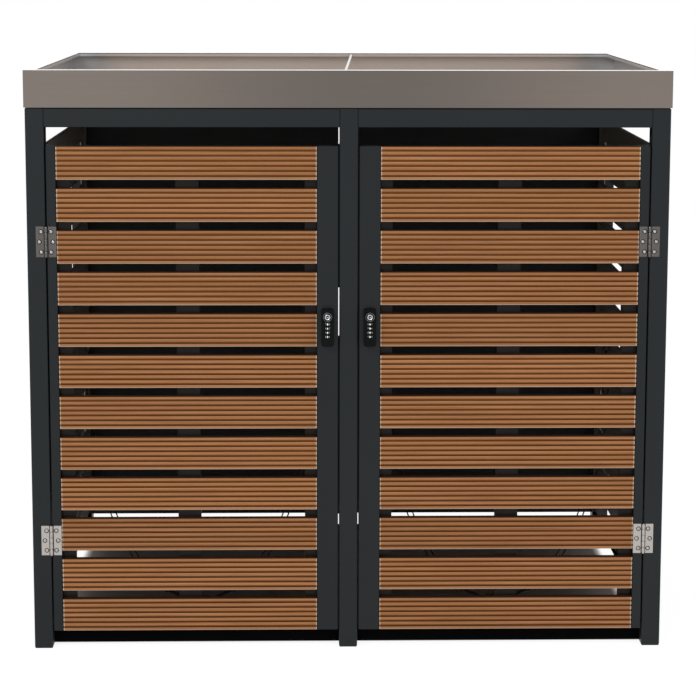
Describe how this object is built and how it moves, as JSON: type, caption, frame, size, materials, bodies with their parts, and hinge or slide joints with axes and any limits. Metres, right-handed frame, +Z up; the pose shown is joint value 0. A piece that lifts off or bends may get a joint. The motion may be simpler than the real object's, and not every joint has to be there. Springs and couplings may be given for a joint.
{
  "type": "wheelie bin store",
  "caption": "Wheelie bin store with slatted doors, slotted side walls, a sheet back and a shallow planter on top.",
  "frame": {"origin": "on the ground under the centre of the whole store's box, from the lock knobs in front to the planter's rear wall", "axes": "+Z up, +X to the right as seen from the front, the doors face -Y"},
  "size_m": [1.384, 0.8732, 1.272],
  "materials": {
    "frame_paint": "dark grey powder coat, satin",
    "planter_steel": "satin sheet",
    "rod_steel": "bright drawn bar",
    "seal_foam": "closed-cell foam tape",
    "slat_wood": "oiled fluted hardwood decking",
    "foot_plastic": "moulded",
    "hinge_steel": "satin stainless",
    "screw_steel": "zinc plated",
    "lock_black": "moulded housing",
    "dial_black": "moulded wheels with white numbers",
    "knob_chrome": "plated",
    "chain_steel": "dull dark zinc"
  },
  "bodies": {
    "frame": {"front_post_left": "frame_paint", "front_post_middle": "frame_paint", "front_post_right": "frame_paint", "rear_post_left": "frame_paint", "rear_post_middle": "frame_paint", "rear_post_right": "frame_paint", "front_top_rail_left": "frame_paint", "front_top_rail_right": "frame_paint", "side_top_rail_left": "frame_paint", "side_top_rail_right": "frame_paint", "rear_top_rail": "frame_paint", "middle_top_rail": "frame_paint", "sill_angle_left": "frame_paint", "sill_angle_right": "frame_paint", "rear_sill_left": "frame_paint", "rear_sill_right": "frame_paint", "side_panel_left": "frame_paint", "side_panel_right": "frame_paint", "back_panel_left": "frame_paint", "back_panel_right": "frame_paint", "back_seam_plate": "frame_paint", "foot_plugs": "foot_plastic", "planter_tray": "planter_steel", "tray_tie_rod": "rod_steel", "tray_seal": "seal_foam", "hinge_post_leaves": "hinge_steel", "hinge_pins": "hinge_steel", "hinge_post_screws": "screw_steel"},
    "door_left": {"door_frame_left": "frame_paint", "door_slats_left": "slat_wood", "door_end_caps_left": "foot_plastic", "hinge_door_leaves_left": "hinge_steel", "hinge_door_screws_left": "screw_steel", "lock_case_left": "lock_black", "dial_shaft_left": "screw_steel", "lock_nut_left": "screw_steel", "chain_left": "chain_steel", "chain_eyes_left": "chain_steel"},
    "knob_left": {"lock_knob_left": "knob_chrome", "lock_cam_left": "screw_steel"},
    "dial_left_1": {"dial_left_1": "dial_black"},
    "dial_left_2": {"dial_left_2": "dial_black"},
    "dial_left_3": {"dial_left_3": "dial_black"},
    "dial_left_4": {"dial_left_4": "dial_black"},
    "door_right": {"door_frame_right": "frame_paint", "door_slats_right": "slat_wood", "door_end_caps_right": "foot_plastic", "hinge_door_leaves_right": "hinge_steel", "hinge_door_screws_right": "screw_steel", "lock_case_right": "lock_black", "dial_shaft_right": "screw_steel", "lock_nut_right": "screw_steel", "chain_right": "chain_steel", "chain_eyes_right": "chain_steel"},
    "knob_right": {"lock_knob_right": "knob_chrome", "lock_cam_right": "screw_steel"},
    "dial_right_1": {"dial_right_1": "dial_black"},
    "dial_right_2": {"dial_right_2": "dial_black"},
    "dial_right_3": {"dial_right_3": "dial_black"},
    "dial_right_4": {"dial_right_4": "dial_black"}
  },
  "joints": [
    {"name": "door_left_hinge", "type": "hinge", "parent": "frame", "child": "door_left", "pos_m": [-0.64875, -0.4149, 0.5], "axis": [0, 0, -1], "range_deg": [0, 180]},
    {"name": "knob_left_turn", "type": "hinge", "parent": "door_left", "child": "knob_left", "pos_m": [-0.04575, -0.4114, 0.743], "axis": [0, -1, 0], "range_deg": [0, 90]},
    {"name": "dial_left_1_turn", "type": "hinge", "parent": "door_left", "child": "dial_left_1", "pos_m": [-0.04575, -0.42192, 0.7267], "axis": [0, 0, 1], "continuous": true},
    {"name": "dial_left_2_turn", "type": "hinge", "parent": "door_left", "child": "dial_left_2", "pos_m": [-0.04575, -0.42192, 0.7175], "axis": [0, 0, 1], "continuous": true},
    {"name": "dial_left_3_turn", "type": "hinge", "parent": "door_left", "child": "dial_left_3", "pos_m": [-0.04575, -0.42192, 0.7083], "axis": [0, 0, 1], "continuous": true},
    {"name": "dial_left_4_turn", "type": "hinge", "parent": "door_left", "child": "dial_left_4", "pos_m": [-0.04575, -0.42192, 0.6991], "axis": [0, 0, 1], "continuous": true},
    {"name": "door_right_hinge", "type": "hinge", "parent": "frame", "child": "door_right", "pos_m": [0.64875, -0.4149, 0.5], "axis": [0, 0, 1], "range_deg": [0, 180]},
    {"name": "knob_right_turn", "type": "hinge", "parent": "door_right", "child": "knob_right", "pos_m": [0.04575, -0.4114, 0.743], "axis": [0, 1, 0], "range_deg": [0, 90]},
    {"name": "dial_right_1_turn", "type": "hinge", "parent": "door_right", "child": "dial_right_1", "pos_m": [0.04575, -0.42192, 0.7267], "axis": [0, 0, 1], "continuous": true},
    {"name": "dial_right_2_turn", "type": "hinge", "parent": "door_right", "child": "dial_right_2", "pos_m": [0.04575, -0.42192, 0.7175], "axis": [0, 0, 1], "continuous": true},
    {"name": "dial_right_3_turn", "type": "hinge", "parent": "door_right", "child": "dial_right_3", "pos_m": [0.04575, -0.42192, 0.7083], "axis": [0, 0, 1], "continuous": true},
    {"name": "dial_right_4_turn", "type": "hinge", "parent": "door_right", "child": "dial_right_4", "pos_m": [0.04575, -0.42192, 0.6991], "axis": [0, 0, 1], "continuous": true}
  ]
}
